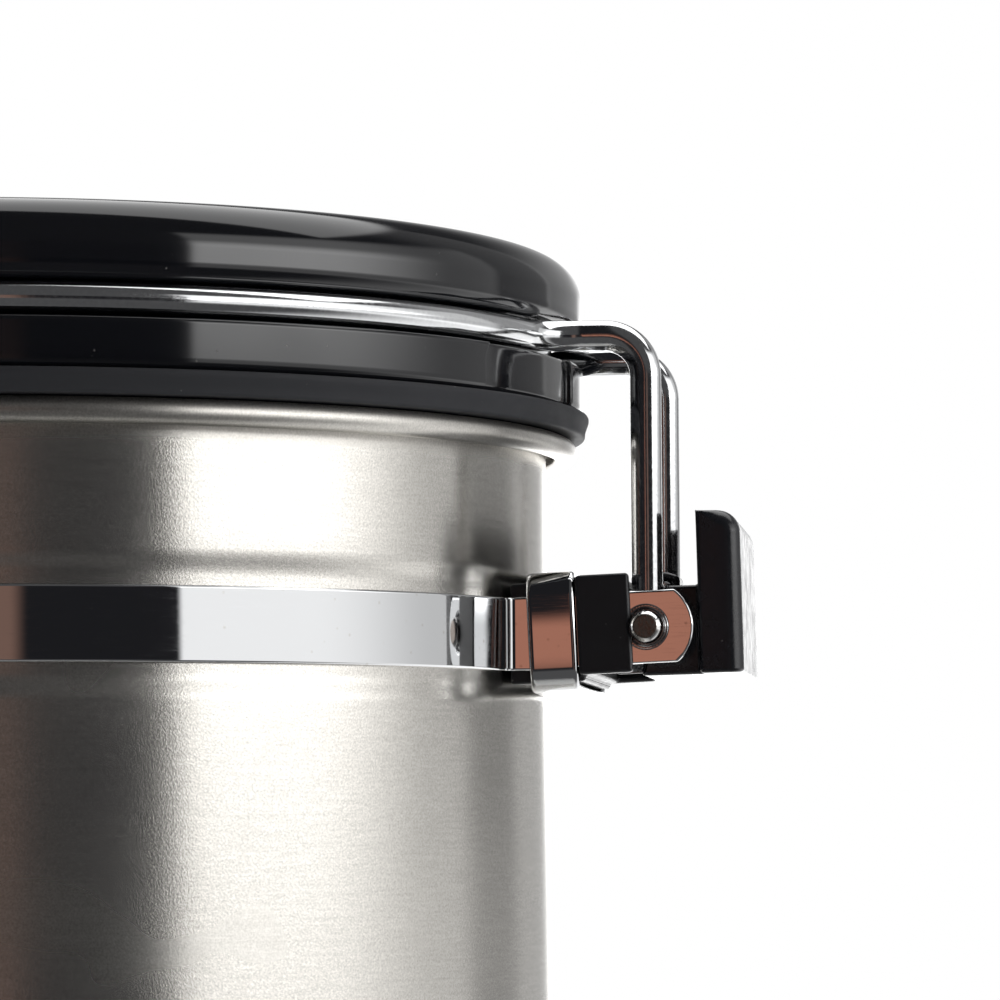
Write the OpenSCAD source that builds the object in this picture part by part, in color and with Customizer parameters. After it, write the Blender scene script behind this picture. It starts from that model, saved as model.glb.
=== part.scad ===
// Coffee canister with a clamp lid and a one-way valve.
// Origin: centre of the underside. +Z up. The latch is at +X and the hinge at -X.

/* [Can] */
// Outside radius of the can at its neck
neck_r = 58; // [56:0.5:60]
// How much wider the foot of the can is than its neck
foot_flare = 1.2; // [0:0.1:2.5]
// Height of the can from the table to the top of its rolled rim
can_h = 159; // [130:0.5:180]
// Thickness of the steel wall
wall_t = 0.8; // [0.6:0.1:1.1]
// Radius of the rolled rim's tube
bead_r = 1.25; // [1.2:0.05:1.5]
// Distance from the neck's outside to the middle of the rolled rim
bead_out = 1.95; // [1.8:0.05:2.2]
// Height of the foot disc above the table
foot_rise = 1.5; // [1:0.1:4]

/* [Clamp strap] */
// Height of the strap
strap_h = 7.2; // [6:0.1:8]
// Thickness of the strap
strap_t = 0.7; // [0.5:0.1:0.9]
// Distance from the top of the rim down to the middle of the strap
strap_drop = 20.7; // [19:0.1:24]
// Depth of the soft groove in which the strap lies
strap_groove = 0.3; // [0.2:0.05:0.6]
// Length of the soft slope at each side of the groove
groove_slope = 2.6; // [1:0.1:3.5]
// Inner radius of the bend where the strap turns out into an ear
strap_bend = 1; // [0.8:0.1:1.4]

/* [Lid] */
// How far the lid's skirt stands out past the rolled rim
skirt_over = 0.7; // [0.3:0.1:2]
// How far the lid's roll lies behind the skirt's face
roll_back = 0.1; // [0:0.05:0.3]
// Height of the lid's shoulder above the seal
shoulder_h = 16; // [15:0.1:18]
// Radius of the lid's rounded shoulder
shoulder_r = 4.4; // [3:0.1:4.6]
// Height of the lid's top above the seal
lid_h = 16.9; // [16:0.1:20]
// Thickness of the lid's walls
lid_t = 2.4; // [2:0.1:2.8]
// Depth of the round panel sunk into the lid's top
panel_sink = 1.2; // [0.6:0.1:1.5]
// Distance from the skirt's face in to the round panel's edge
panel_in = 14.9; // [13:0.1:20]
// Height of the wire's middle above the seal
wire_up = 6.5; // [6:0.1:7]
// Depth of the pockets in the skirt under the wire's legs
pocket_t = 0.6; // [0.3:0.1:1.2]
// Angle from the latch to the far side of a pocket
pocket_far = 27; // [24:1:32]
// Angle from the latch to the near side of a pocket
pocket_near = 6; // [3:1:10]
// Radius of a pocket's upper corners
pocket_round = 2.4; // [1:0.1:3]

/* [Seal and liner] */
// How far the seal's upper edge stands out past the lid's skirt
seal_over = 0.6; // [0.2:0.1:1]
// Thickness of the seal
seal_t = 2.4; // [2:0.1:3]
// Width of the liner's flange under the seal
liner_hold = 3.5; // [3:0.1:5]
// Gap left between the seal and the rim
seal_gap = 0.1; // [0.05:0.05:0.3]
// Gap between the liner's flange and the inside of the can
liner_gap = 3.2; // [2.7:0.1:4]
// Thickness of the liner's flange
liner_t = 1; // [0.8:0.1:1.2]
// Distance of the liner screws from the axis
screw_ring_r = 36; // [30:1:40]
// Number of liner screws
screw_n = 4; // [3:1:6]
// Radius of a screw's shank
screw_r = 1.5; // [1.25:0.05:2]
// Radius of a screw's head
screw_head_r = 2.8; // [2.5:0.1:3.5]
// Length of a screw's shank
screw_len = 10; // [7:0.5:11]

/* [Valve] */
// Outside radius of the valve's tube
valve_r = 12; // [11:0.5:14]
// Radius of the valve's cover
cover_r = 19; // [18:0.5:24]
// Height of the valve's cover above the panel
cover_h = 3.1; // [2.8:0.1:5]
// Radius of the silicone flap
flap_r = 9; // [8.5:0.1:9.5]
// Lift of the silicone flap
flap_lift = 0.8; // [0.4:0.1:0.9]
// Number of air holes under the flap
vent_n = 6; // [4:1:8]
// Radius of an air hole under the flap
vent_r = 1.2; // [0.8:0.1:1.4]
// Number of air gaps in the cover's edge
slot_n = 8; // [4:1:12]

/* [Wire] */
// Diameter of the bail wire
wire_d = 3.1; // [2.9:0.02:3.14]
// How far the middle of the wire's ring lies behind the skirt's face
ring_sink = 1.6; // [1.5:0.05:1.7]
// Half the distance between a pair of legs
leg_half = 14; // [13:0.1:15]
// Bend radius where the ring turns outward
turn_r = 6; // [4:0.1:7]
// Bend radius where a leg turns down
drop_r = 4; // [2:0.1:4.2]
// Bend radius where a leg's end turns into its ear
end_r = 1.6; // [1.58:0.01:1.64]

/* [Latch and hinge] */
// Distance of the pin from the outside of the can's neck
pin_reach = 11.5; // [11:0.1:13]
// How far the ears, the collar, the block and the lever tip up
tip = 2.5; // [0:0.1:4]
// Radius of the pin
pin_r = 1.55; // [1.3:0.05:1.6]
// Running clearance of pins and wire ends in their holes
fit = 0.1; // [0.05:0.01:0.1]
// Radius of an ear's round end
ear_end_r = 4.7; // [4.4:0.1:4.9]
// Gap between a leg and its ear
ear_gap = 0.2; // [0.1:0.05:0.4]
// Height of the collar
collar_h = 11.9; // [11:0.1:13]
// Length of the collar along its way out
collar_len = 4.8; // [4:0.1:4.9]
// Thickness of the collar's sheet
collar_t = 0.8; // [0.6:0.1:1]
// Radius of the collar's rounded corners
collar_round = 2.4; // [1.5:0.1:3]
// Height of the plastic block
block_h = 9.8; // [9:0.1:10.4]
// Length of the plastic block along its way out
block_len = 5.3; // [5:0.1:5.5]
// How far the block stands out beside an ear
block_side = 0.8; // [0.5:0.1:1.2]
// How far the pin and the wire's ends stand out beside the block
pin_over = 0.75; // [0.5:0.05:1]

/* [Lever] */
// How far the lever's arm and thumb tab tip up
lever_tip = 1.3; // [0:0.1:4]
// Radius of the lever's hub
hub_r = 4.7; // [4.4:0.1:4.8]
// Height of the lever's arm above the pin
arm_top = 4.2; // [3.8:0.1:4.4]
// Distance from the pin to the near face of the thumb tab
tab_in = 5.15; // [5:0.05:6]
// Thickness of the thumb tab
tab_t = 4.3; // [3.5:0.1:5]
// Height of the thumb tab above the pin
tab_top = 11.4; // [9:0.1:14]
// Half the width of the thumb tab
tab_half = 15.5; // [13:0.1:16.5]
// Half the width of the hook
hook_half = 3; // [2.5:0.5:9]
// Thickness of the hook's lip
lip_t = 0.9; // [0.8:0.1:1.4]
// Thickness of the hub under the crossbar
saddle_t = 0.5; // [0.4:0.1:1]

/* [Hidden] */
$fn = 96;
steel = "#c4bdb2";
chrome = "#d9dbdd";
black = "#16171a";
rubber = "#2a2b2d";
eps = 0.01;

lid_r = neck_r + bead_out + bead_r + skirt_over;
lid_roll_r = lid_r - roll_back;
panel_r = lid_r - panel_in;
seal_r = lid_r + seal_over;
liner_r = neck_r - wall_t - liner_gap;
seal_bore_r = liner_r - liner_hold;
ring_r = lid_r - ring_sink;
pin_out = neck_r + pin_reach;
seal_z = can_h + seal_gap + seal_t;
strap_z = can_h - strap_drop;
strap_r = neck_r - strap_groove + strap_t;
hang_r = neck_r - 3;
pin_z = strap_z + round(100 * (pin_out - hang_r) * tan(tip)) / 100;
wire_z = seal_z + wire_up;
wire_r = wire_d / 2;
ear_in = leg_half + wire_r + ear_gap;
ear_out = ear_in + strap_t;
pin_end = ear_out + block_side + pin_over;
collar_start = neck_r - 0.15;
collar_half = ear_out + collar_t;
block_start = collar_start + collar_len + 0.1;
block_half = ear_out + block_side;
bar_r = wire_r - 0.1;
bar_up = pin_r + fit + saddle_t + fit + bar_r;
lip_in = bar_up + bar_r + 0.12;
lip_out = lip_in + lip_t;
turn = asin((leg_half + turn_r) / (ring_r + turn_r));
turn_x = round(100 * (ring_r + turn_r) * cos(turn)) / 100;
hub_half = leg_half - wire_r - 0.3;
panel_z = seal_z + lid_h - panel_sink;
ceiling_z = panel_z - lid_t;
lid_bore_r = lid_r - 5.9;
groove_floor_r = ring_r - wire_r - 0.1;
groove_half = wire_r + 0.15;
skirt_top = seal_z + wire_up - groove_half;
liner_top = seal_z + 1;
liner_hub_r = seal_bore_r - 0.1;
valve_plate_t = 1;
valve_wall = 1.6;
flange_r = valve_r + 3;
flange_t = 1;
stem_r = 0.9;
flap_t = 0.6;
plate_top = panel_z - 0.4;

// Places a child at the latch's pin, tipped up; at the hinge when back is true
module at_pin(back = false) {
    rotate([0, 0, back ? 180 : 0]) translate([pin_out, 0, pin_z]) rotate([0, -tip, 0]) children();
}

// Extrudes an outline drawn in the upright plane through the axis
module across(half) {
    rotate([90, 0, 0]) linear_extrude(2 * half, center = true) children();
}

// Cylinder across the latch
module cross_rod(r, half) {
    rotate([90, 0, 0]) cylinder(r = r, h = 2 * half, center = true, $fn = 48);
}

module can_shell() {
    low = strap_z - strap_h / 2 - 0.9;
    high = strap_z + strap_h / 2 + 0.9;
    floor_r = neck_r - strap_groove;
    lip_r = 1.9;
    lip_x = neck_r - wall_t + lip_r;
    outer = [
        [neck_r + foot_flare - 0.6, 0], [neck_r + foot_flare, 0.8],
        [neck_r, low - groove_slope],
        for (s = [0.25, 0.5, 0.75]) [neck_r - strap_groove * (1 - cos(180 * s)) / 2, low - groove_slope * (1 - s)],
        [floor_r, low], [floor_r, high],
        for (s = [0.25, 0.5, 0.75]) [floor_r + strap_groove * (1 - cos(180 * s)) / 2, high + groove_slope * s],
        [neck_r, high + groove_slope], [neck_r, can_h - lip_r]
    ];
    inner = [
        [neck_r - wall_t, can_h - lip_r], [neck_r - wall_t, high + groove_slope],
        [floor_r - wall_t, high], [floor_r - wall_t, low],
        [neck_r - wall_t, low - groove_slope],
        [neck_r + foot_flare - wall_t, 0.8], [neck_r + foot_flare - wall_t, 0]
    ];
    color(steel) rotate_extrude() {
        polygon(concat(outer, inner));
        intersection() {
            translate([lip_x, can_h - lip_r]) difference() {
                circle(lip_r, $fn = 40);
                circle(lip_r - wall_t, $fn = 32);
            }
            translate([lip_x - lip_r, can_h - lip_r - 0.01]) square([lip_r, lip_r + 1]);
        }
        difference() {
            union() {
                translate([neck_r + bead_out, can_h - bead_r]) circle(bead_r, $fn = 40);
                translate([lip_x - 0.01, can_h - wall_t]) square([neck_r + bead_out - lip_x, wall_t]);
            }
            translate([neck_r + bead_out, can_h - bead_r]) circle(bead_r - 0.6, $fn = 32);
            translate([neck_r + bead_out - 2 * bead_r, can_h - bead_r - 0.6]) square([2 * bead_r - 0.4, 0.8]);
        }
    }
}

module can_base() {
    fit_r = neck_r + foot_flare - wall_t - 0.08;
    color(steel) rotate_extrude() polygon([
        [0, foot_rise], [fit_r - 5, foot_rise], [fit_r - 2.4, 0.25], [fit_r - 0.35, 0.05], [fit_r, 0.8],
        [fit_r - 0.02, 3.5], [fit_r - wall_t, 3.5], [fit_r - wall_t, 1.2], [fit_r - 2.2, 1.05],
        [fit_r - 4.6, foot_rise + wall_t], [0, foot_rise + wall_t]
    ]);
}

// Upright band for half a strap: an arc round the can, two bends and two ears
module strap_band(high) {
    in_r = strap_r - strap_t;
    side = ear_out + strap_bend;
    turn_at = asin(side / (strap_r + strap_bend));
    cx = (strap_r + strap_bend) * cos(turn_at);
    hair = 0.02;
    union() {
        difference() {
            intersection() {
                cylinder(r = strap_r, h = high, $fn = 180);
                linear_extrude(high) polygon([[0, 0], [2 * cx, -2 * side], [0, -3 * strap_r], [-2 * cx, -2 * side]]);
            }
            translate([0, 0, -1]) cylinder(r = in_r, h = high + 2, $fn = 180);
        }
        for (m = [0, 1]) mirror([m, 0, 0]) {
            translate([cx - 0.3, -ear_out, 0]) cube([pin_out + 9 - cx, strap_t, high]);
            linear_extrude(high) polygon([
                [cx + 0.3, -ear_out + hair],
                for (k = [0 : 6]) [cx, -side] + (strap_bend + hair) * bend_way(k, turn_at),
                (strap_r - hair) * [cos(turn_at + 0.5), -sin(turn_at + 0.5)],
                (in_r + hair) * [cos(turn_at + 0.5), -sin(turn_at + 0.5)],
                for (k = [6 : -1 : 0]) [cx, -side] + (strap_bend + strap_t - hair) * bend_way(k, turn_at),
                [cx + 0.3, -ear_in - hair]
            ]);
        }
    }
}

function bend_way(k, turn_at) = [cos(90 + k * (90 - turn_at) / 6), sin(90 + k * (90 - turn_at) / 6)];

// Side outline of a strap: level round the can, tipped up at the ears, with round ends
module strap_side() {
    square([2 * hang_r + 8, strap_h], center = true);
    for (m = [0, 1]) mirror([m, 0]) translate([hang_r, 0]) rotate(tip) {
        translate([0, -strap_h / 2]) square([(pin_out - hang_r) / cos(tip), strap_h]);
        translate([(pin_out - hang_r) / cos(tip), 0]) intersection() {
            circle(ear_end_r, $fn = 96);
            translate([-1, -strap_h / 2]) square([ear_end_r + 2, strap_h]);
        }
    }
}

module strap_near() {
    color(chrome) difference() {
        intersection() {
            translate([0, 0, strap_z - 9]) strap_band(18);
            translate([0, 0, strap_z]) rotate([90, 0, 0]) linear_extrude(strap_r + 2) strap_side();
        }
        for (back = [false, true]) at_pin(back) {
            cross_rod((back ? wire_r : pin_r) + fit, ear_out + 1);
            rotate([back ? -90 : 90, 0, 0]) translate([0, 0, ear_out - 0.3]) cylinder(r = pin_r + 0.5, h = 1, $fn = 48);
        }
    }
}

module strap_far() { mirror([0, 1, 0]) strap_near(); }

// Folded sheet sleeve round the roots of the ears
module collar() {
    color(chrome) difference() {
        translate([collar_start - pin_out, 0, 0]) rotate([90, 0, 90]) linear_extrude(collar_len) difference() {
            round_box(collar_half, collar_h, collar_round);
            round_box(ear_out, collar_h - 2 * collar_t, collar_round - collar_t);
        }
        rotate([0, tip, 0]) translate([-pin_out, 0, -20]) cylinder(r = neck_r + 0.1, h = 40, $fn = 180);
    }
}

module round_box(half, high, round) {
    w = half - round;
    h = high / 2 - round;
    union() {
        square([2 * half, 2 * h], center = true);
        square([2 * w, high], center = true);
        for (x = [-w, w], y = [-h, h]) translate([x, y]) circle(round, $fn = 40);
    }
}

// Moulded block: a tongue between the ears inside the collar, and a head with slots for the ears
module block() {
    start = block_start - pin_out;
    tongue_h = collar_h - 2 * collar_t - 0.3;
    color(black) difference() {
        union() {
            translate([start, -block_half, -block_h / 2 + 0.5]) cube([block_len, 2 * block_half, block_h]);
            translate([start - collar_len - 3, -ear_in + 0.05, -tongue_h / 2])
                cube([collar_len + 3.5, 2 * ear_in - 0.1, tongue_h]);
        }
        for (s = [-1, 1]) translate([start - 1, s * (ear_in + strap_t / 2) - strap_t / 2, -strap_h / 2])
            cube([block_len + 2, strap_t, strap_h]);
        cross_rod(hub_r + 0.3, ear_in);
        translate([-2.3, -ear_in, 0]) cube([4, 2 * ear_in, block_h]);
        translate([-hub_r - 0.7, -ear_in, -block_h]) cube([hub_r + 4, 2 * ear_in, block_h]);
        cross_rod(pin_r + 0.15, block_half + 1);
        rotate([0, tip, 0]) translate([-pin_out, 0, -20]) cylinder(r = neck_r + 0.1, h = 40, $fn = 180);
    }
}

module latch_collar() { at_pin() collar(); }
module latch_block() { at_pin() block(); }
module hinge_collar() { at_pin(true) collar(); }
module hinge_block() { at_pin(true) block(); }

module latch_pin() {
    color(chrome) at_pin() rotate([90, 0, 0]) {
        cylinder(r = pin_r, h = 2 * pin_end - 0.8, center = true, $fn = 48);
        for (s = [0, 180]) rotate([s, 0, 0]) translate([0, 0, pin_end - 0.4])
            cylinder(r1 = pin_r, r2 = pin_r - 0.4, h = 0.4, $fn = 48);
    }
}

// The hook stands upright over the wire's crossbar; the arm and the tab are tipped up
module latch_lever() {
    color(black) translate([pin_out, 0, pin_z]) difference() {
        union() {
            rotate([0, -lever_tip, 0]) {
                across(hub_half) {
                    circle(hub_r, $fn = 96);
                    translate([0, -hub_r]) square([tab_in + 0.5, hub_r + arm_top]);
                }
                across(tab_half) tab_outline();
            }
            across(hook_half) difference() {
                intersection() {
                    circle(lip_out, $fn = 96);
                    polygon([[0, 0], [-1.4, 7], [-1.4, 12], [bar_r + 0.2 + lip_t, 12], [bar_r + 0.2 + lip_t, 0]]);
                }
                circle(lip_in, $fn = 96);
                translate([-3, 0]) square([3, arm_top]);
            }
            across(hook_half) translate([bar_r + 0.2, 0]) square([lip_t, lip_in - 0.1]);
        }
        across(hub_half + 1) difference() {
            intersection() {
                circle(lip_in, $fn = 96);
                polygon([[0, 0], [bar_r + 0.2, 0], [bar_r + 0.2, 9], [-9, 9], [-9, -9], [-1.5, -9]]);
            }
            circle(pin_r + fit + saddle_t, $fn = 96);
        }
        cross_rod(pin_r + fit, hub_half + 2);
    }
}

// Upright thumb tab with a round upper outer corner
module tab_outline() {
    round = 2.2;
    difference() {
        translate([tab_in, -hub_r]) square([tab_t, hub_r + tab_top]);
        translate([tab_in + tab_t - round, tab_top - round]) difference() {
            square(round + 1);
            circle(round, $fn = 48);
        }
    }
}

// One quarter bend of wire: starts along +X at the origin and turns towards +Y
module wire_bend(r, angle) {
    translate([0, r, 0]) rotate([0, 0, -90]) rotate_extrude(angle = angle, $fn = 32)
        translate([r, 0]) circle(wire_r, $fn = 20);
}

module wire_rod(len) {
    rotate([0, 90, 0]) cylinder(r = wire_r, h = len, $fn = 20);
}

// Leg from the ring's turn: out, then down
module wire_leg(down) {
    reach = pin_out - drop_r - turn_x;
    translate([turn_x, -leg_half, wire_z]) {
        wire_rod(reach);
        translate([reach, 0, 0]) rotate([-90, 0, 0]) wire_bend(drop_r, 90);
        translate([reach + drop_r, 0, -drop_r]) rotate([0, 90, 0]) wire_rod(down - drop_r);
    }
}

// Turn between the ring and a leg; a hair-thin sleeve covers the joint
module wire_turn() {
    rotate([0, 0, -turn]) translate([ring_r, 0, wire_z]) rotate([90, 0, 0])
        cylinder(r = wire_r + 0.05, h = 0.4, center = true, $fn = 20);
    translate([turn_x, -leg_half - turn_r, wire_z]) rotate([0, 0, 90])
        rotate_extrude(angle = 89 - turn, $fn = 48) translate([turn_r, 0]) circle(wire_r, $fn = 20);
}

// The crossbar is welded between the front legs, whose feet stand beside the lever's hub
module bail_wire() {
    front_down = wire_z - pin_z - pin_r - fit - 0.3;
    back_down = wire_z - pin_z - end_r;
    color(chrome) {
        for (m = [0, 1]) mirror([0, m, 0]) {
            rotate([0, 0, 180.1 + turn]) translate([0, 0, wire_z]) rotate_extrude(angle = 179.8 - 2 * turn, $fn = 96)
                translate([ring_r, 0]) circle(wire_r, $fn = 20);
            wire_turn();
            mirror([1, 0, 0]) wire_turn();
            wire_leg(front_down);
            mirror([1, 0, 0]) wire_leg(back_down);
            translate([-pin_out, -leg_half, pin_z + end_r]) rotate([0, 90, 0]) mirror([0, 1, 0]) wire_bend(end_r, 90);
            translate([-pin_out, -leg_half - end_r, pin_z]) rotate([90, 0, 0])
                cylinder(r = wire_r, h = pin_end - leg_half - end_r, $fn = 20);
        }
        translate([pin_out, 0, pin_z + bar_up]) cross_rod(bar_r, leg_half);
    }
}

module lid_shell() {
    top = seal_z + lid_h;
    shoulder_z = seal_z + shoulder_h - shoulder_r;
    shoulder_x = lid_roll_r - shoulder_r;
    roll_low = wire_z + groove_half;
    under = 1.6;
    edge = 0.4;
    color(black) difference() {
        rotate_extrude() union() {
            difference() {
                union() {
                    polygon([[0, seal_z], [lid_r - edge, seal_z], [lid_r, seal_z + edge], [lid_r, skirt_top - edge],
                        [lid_r - edge, skirt_top], [lid_r - edge, wire_z], [0, wire_z]]);
                    translate([0, wire_z]) square([lid_roll_r - under, shoulder_z - wire_z]);
                    translate([0, roll_low + under]) square([lid_roll_r, shoulder_z - roll_low - under]);
                    translate([lid_roll_r - under, roll_low + under]) circle(under, $fn = 48);
                    translate([shoulder_x, shoulder_z]) circle(shoulder_r, $fn = 96);
                    polygon([[0, wire_z], [shoulder_x, wire_z], [shoulder_x, seal_z + shoulder_h],
                        [panel_r + 2, top], [0, top]]);
                }
                translate([groove_floor_r, wire_z - groove_half]) square([lid_r, 2 * groove_half]);
                translate([0, panel_z]) square([panel_r, panel_sink + 1]);
                translate([panel_r, top]) circle(panel_sink, $fn = 40);
                translate([0, seal_z - 1]) square([lid_bore_r, ceiling_z - seal_z + 1]);
            }
            translate([seal_bore_r + 0.5, seal_z]) square([lid_bore_r - seal_bore_r, 2]);
        }
        translate([0, 0, ceiling_z - 1]) cylinder(r = valve_r + fit, h = 2 * lid_h);
        for (side = [0, 180], m = [0, 1]) rotate([0, 0, side]) mirror([0, m, 0]) pocket();
    }
    color(black) for (i = [0 : screw_n - 1]) rotate([0, 0, 45 + i * 360 / screw_n]) translate([screw_ring_r, 0, liner_top])
        difference() {
            cylinder(r = screw_r + 2, h = ceiling_z - liner_top + eps, $fn = 40);
            translate([0, 0, -1]) cylinder(r = screw_r + 0.05, h = screw_len, $fn = 40);
        }
}

// Pocket in the skirt under a leg, with round upper corners, open to the wire's groove
module pocket() {
    near = round(100 * lid_r * sin(pocket_near)) / 100;
    far = round(100 * lid_r * sin(pocket_far)) / 100;
    high = skirt_top - seal_z;
    intersection() {
        difference() {
            translate([0, 0, seal_z - 1]) cylinder(r = lid_r + 2, h = high + 2, $fn = 180);
            translate([0, 0, seal_z - 2]) cylinder(r = lid_r - pocket_t, h = high + 4, $fn = 180);
        }
        translate([30, 0, seal_z]) rotate([90, 0, 90]) linear_extrude(40) union() {
            translate([near, -2]) square([far - near, high + 2.5 - pocket_round]);
            translate([near + pocket_round, -2]) square([far - near - 2 * pocket_round, high + 2.5]);
            for (y = [near + pocket_round, far - pocket_round]) translate([y, high + 0.5 - pocket_round])
                circle(pocket_round, $fn = 48);
        }
    }
}

module lid_seal() {
    color(rubber) rotate_extrude() polygon([
        [seal_bore_r, seal_z], [seal_r - 0.3, seal_z], [seal_r, seal_z - 0.3],
        [seal_r - 0.44, seal_z - seal_t], [seal_bore_r, seal_z - seal_t]
    ]);
}

module lid_liner() {
    low = seal_z - seal_t - liner_t;
    color("#1d1e21") difference() {
        rotate_extrude() polygon([
            [0, low], [liner_r - 0.4, low], [liner_r, low + 0.4], [liner_r, low + liner_t],
            [liner_hub_r, low + liner_t], [liner_hub_r, liner_top], [liner_hub_r - 2, liner_top],
            [liner_hub_r - 2, low + 2], [screw_ring_r + 6, low + 2], [screw_ring_r + 6, liner_top], [0, liner_top]
        ]);
        for (i = [0 : screw_n - 1]) rotate([0, 0, 45 + i * 360 / screw_n]) translate([screw_ring_r, 0, low - 1])
            cylinder(r = screw_r + 0.1, h = 10, $fn = 40);
        for (i = [0 : vent_n - 1]) rotate([0, 0, i * 360 / vent_n]) translate([valve_r / 2, 0, low - 1])
            cylinder(r = vent_r, h = 10, $fn = 32);
    }
}

module liner_screws() {
    low = seal_z - seal_t - liner_t;
    color("silver") for (i = [0 : screw_n - 1]) rotate([0, 0, 45 + i * 360 / screw_n])
        translate([screw_ring_r, 0, low]) difference() {
            union() {
                translate([0, 0, -1.4]) cylinder(r = screw_head_r, h = 1.4, $fn = 40);
                cylinder(r = screw_r, h = screw_len, $fn = 40);
            }
            for (a = [0, 90]) rotate([0, 0, a]) translate([-1.7, -0.3, -1.5]) cube([3.4, 0.6, 1.1]);
        }
}

module valve_body() {
    color("#2b2d31") difference() {
        rotate_extrude() polygon([
            [valve_r - valve_wall, liner_top], [valve_r, liner_top], [valve_r, panel_z],
            [flange_r, panel_z], [flange_r, panel_z + flange_t], [flap_r + 0.6, panel_z + flange_t],
            [flap_r + 0.6, plate_top], [stem_r + fit, plate_top], [stem_r + fit, plate_top - valve_plate_t],
            [valve_r - valve_wall, plate_top - valve_plate_t]
        ]);
        for (i = [0 : vent_n - 1]) rotate([0, 0, i * 360 / vent_n]) translate([flap_r / 2 + 0.4, 0, plate_top - 3])
            cylinder(r = vent_r, h = 4, $fn = 32);
    }
}

module valve_flap() {
    low = plate_top - valve_plate_t - flap_lift - 0.1;
    color("#b9bcc0") rotate_extrude() polygon([
        [0, plate_top + flap_t], [flap_r - 0.4, plate_top + flap_t], [flap_r, plate_top + 0.3],
        [flap_r, plate_top + 0.02], [stem_r, plate_top + 0.02], [stem_r, low], [stem_r + 0.5, low - 0.2],
        [stem_r + 0.5, low - 0.8], [stem_r, low - 1.2], [0, low - 1.2]
    ]);
}

module valve_filter() {
    color("#e4e1da") translate([0, 0, liner_top]) cylinder(r = valve_r - valve_wall - 0.1, h = 2);
}

module valve_cover() {
    top = panel_z + cover_h;
    room = plate_top + flap_t + flap_lift + 0.15;
    color(black) difference() {
        rotate_extrude() polygon([
            [0, room], [flap_r + 1.5, room], [flap_r + 1.5, panel_z + flange_t + 0.02],
            [flange_r + 0.1, panel_z + flange_t + 0.02], [flange_r + 0.1, panel_z], [cover_r, panel_z],
            [cover_r, top - 1.4], [cover_r - 0.5, top - 0.7], [cover_r - 1.6, top - 0.25],
            [cover_r - 4, top], [0, top]
        ]);
        for (i = [0 : slot_n - 1]) rotate([0, 0, (i + 0.5) * 360 / slot_n])
            translate([flap_r + 0.5, -1, panel_z + flange_t - 0.2]) cube([cover_r, 2, 0.8]);
    }
}

module valve_ring() {
    color(rubber) translate([0, 0, liner_top + 1]) rotate_extrude() translate([valve_r + 1.02, 0]) circle(1, $fn = 32);
}

can_shell();
can_base();
strap_near();
strap_far();
latch_collar();
latch_block();
latch_pin();
latch_lever();
hinge_collar();
hinge_block();
bail_wire();
lid_shell();
lid_seal();
lid_liner();
liner_screws();
valve_body();
valve_flap();
valve_filter();
valve_cover();
valve_ring();
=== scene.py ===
import math

import bmesh
import bpy
import numpy as np
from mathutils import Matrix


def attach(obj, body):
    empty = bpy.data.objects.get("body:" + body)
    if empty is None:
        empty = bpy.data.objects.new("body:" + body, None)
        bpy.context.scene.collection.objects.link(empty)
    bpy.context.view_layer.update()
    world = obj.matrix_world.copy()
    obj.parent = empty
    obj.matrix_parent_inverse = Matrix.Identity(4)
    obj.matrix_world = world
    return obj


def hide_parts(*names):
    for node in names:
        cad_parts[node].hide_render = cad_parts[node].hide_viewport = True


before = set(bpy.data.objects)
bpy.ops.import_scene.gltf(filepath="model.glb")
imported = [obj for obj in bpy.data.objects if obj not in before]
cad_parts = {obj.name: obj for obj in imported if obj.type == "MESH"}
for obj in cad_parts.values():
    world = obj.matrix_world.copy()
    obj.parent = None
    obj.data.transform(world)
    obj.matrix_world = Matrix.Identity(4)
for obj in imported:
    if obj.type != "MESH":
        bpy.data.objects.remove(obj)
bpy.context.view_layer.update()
MM = 0.001


# Can base: a shallow pressed disc of stainless steel, pushed into the foot of the wall and welded.
# It stands on its rolled edge. The CAD node is shown as it is, in the same brushed steel as the wall.

def srgb(code):
    """sRGB hex to linear RGBA: a channel c becomes ((c + 0.055) / 1.055) to the power 2.4, or c / 12.92 if small."""
    channels = [int(code[i:i + 2], 16) / 255 for i in (1, 3, 5)]
    return [c / 12.92 if c <= 0.04045 else ((c + 0.055) / 1.055) ** 2.4 for c in channels] + [1]


def add_node(tree, kind, settings=(), values=(), links=()):
    """Adds a node, sets its properties and socket values, and links other nodes' outputs to its inputs."""
    made = tree.nodes.new(kind)
    for name, value in dict(settings).items():
        setattr(made, name, value)
    for name, value in dict(values).items():
        made.inputs[name].default_value = value
    for name, output in dict(links).items():
        tree.links.new(output, made.inputs[name])
    return made


def new_finish(name, code, metallic, roughness, more=()):
    """A material with its constants set on the shader's own sockets. Returns the material, its tree and shader."""
    made = bpy.data.materials.new(name)
    made.use_nodes = True
    shader = made.node_tree.nodes["Principled BSDF"]
    for socket, value in dict({"Base Color": srgb(code), "Metallic": metallic, "Roughness": roughness}, **dict(more)).items():
        shader.inputs[socket].default_value = value
    return made, made.node_tree, shader


def stretched_noise(tree, per_metre, detail=2.0, roughness=0.5):
    """Noise on object coordinates whose grain has its own size along each axis, in grains per metre."""
    place = add_node(tree, "ShaderNodeTexCoord")
    turned = add_node(tree, "ShaderNodeMapping", values={"Scale": per_metre}, links={"Vector": place.outputs["Object"]})
    return add_node(tree, "ShaderNodeTexNoise", values={"Scale": 1.0, "Detail": detail, "Roughness": roughness},
                    links={"Vector": turned.outputs["Vector"]})


def ranged(tree, source, low, high, start=0.0, end=1.0):
    """Carries a value from the range start to end over to the range low to high."""
    return add_node(tree, "ShaderNodeMapRange",
                    values={"From Min": start, "From Max": end, "To Min": low, "To Max": high}, links={"Value": source})


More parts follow.
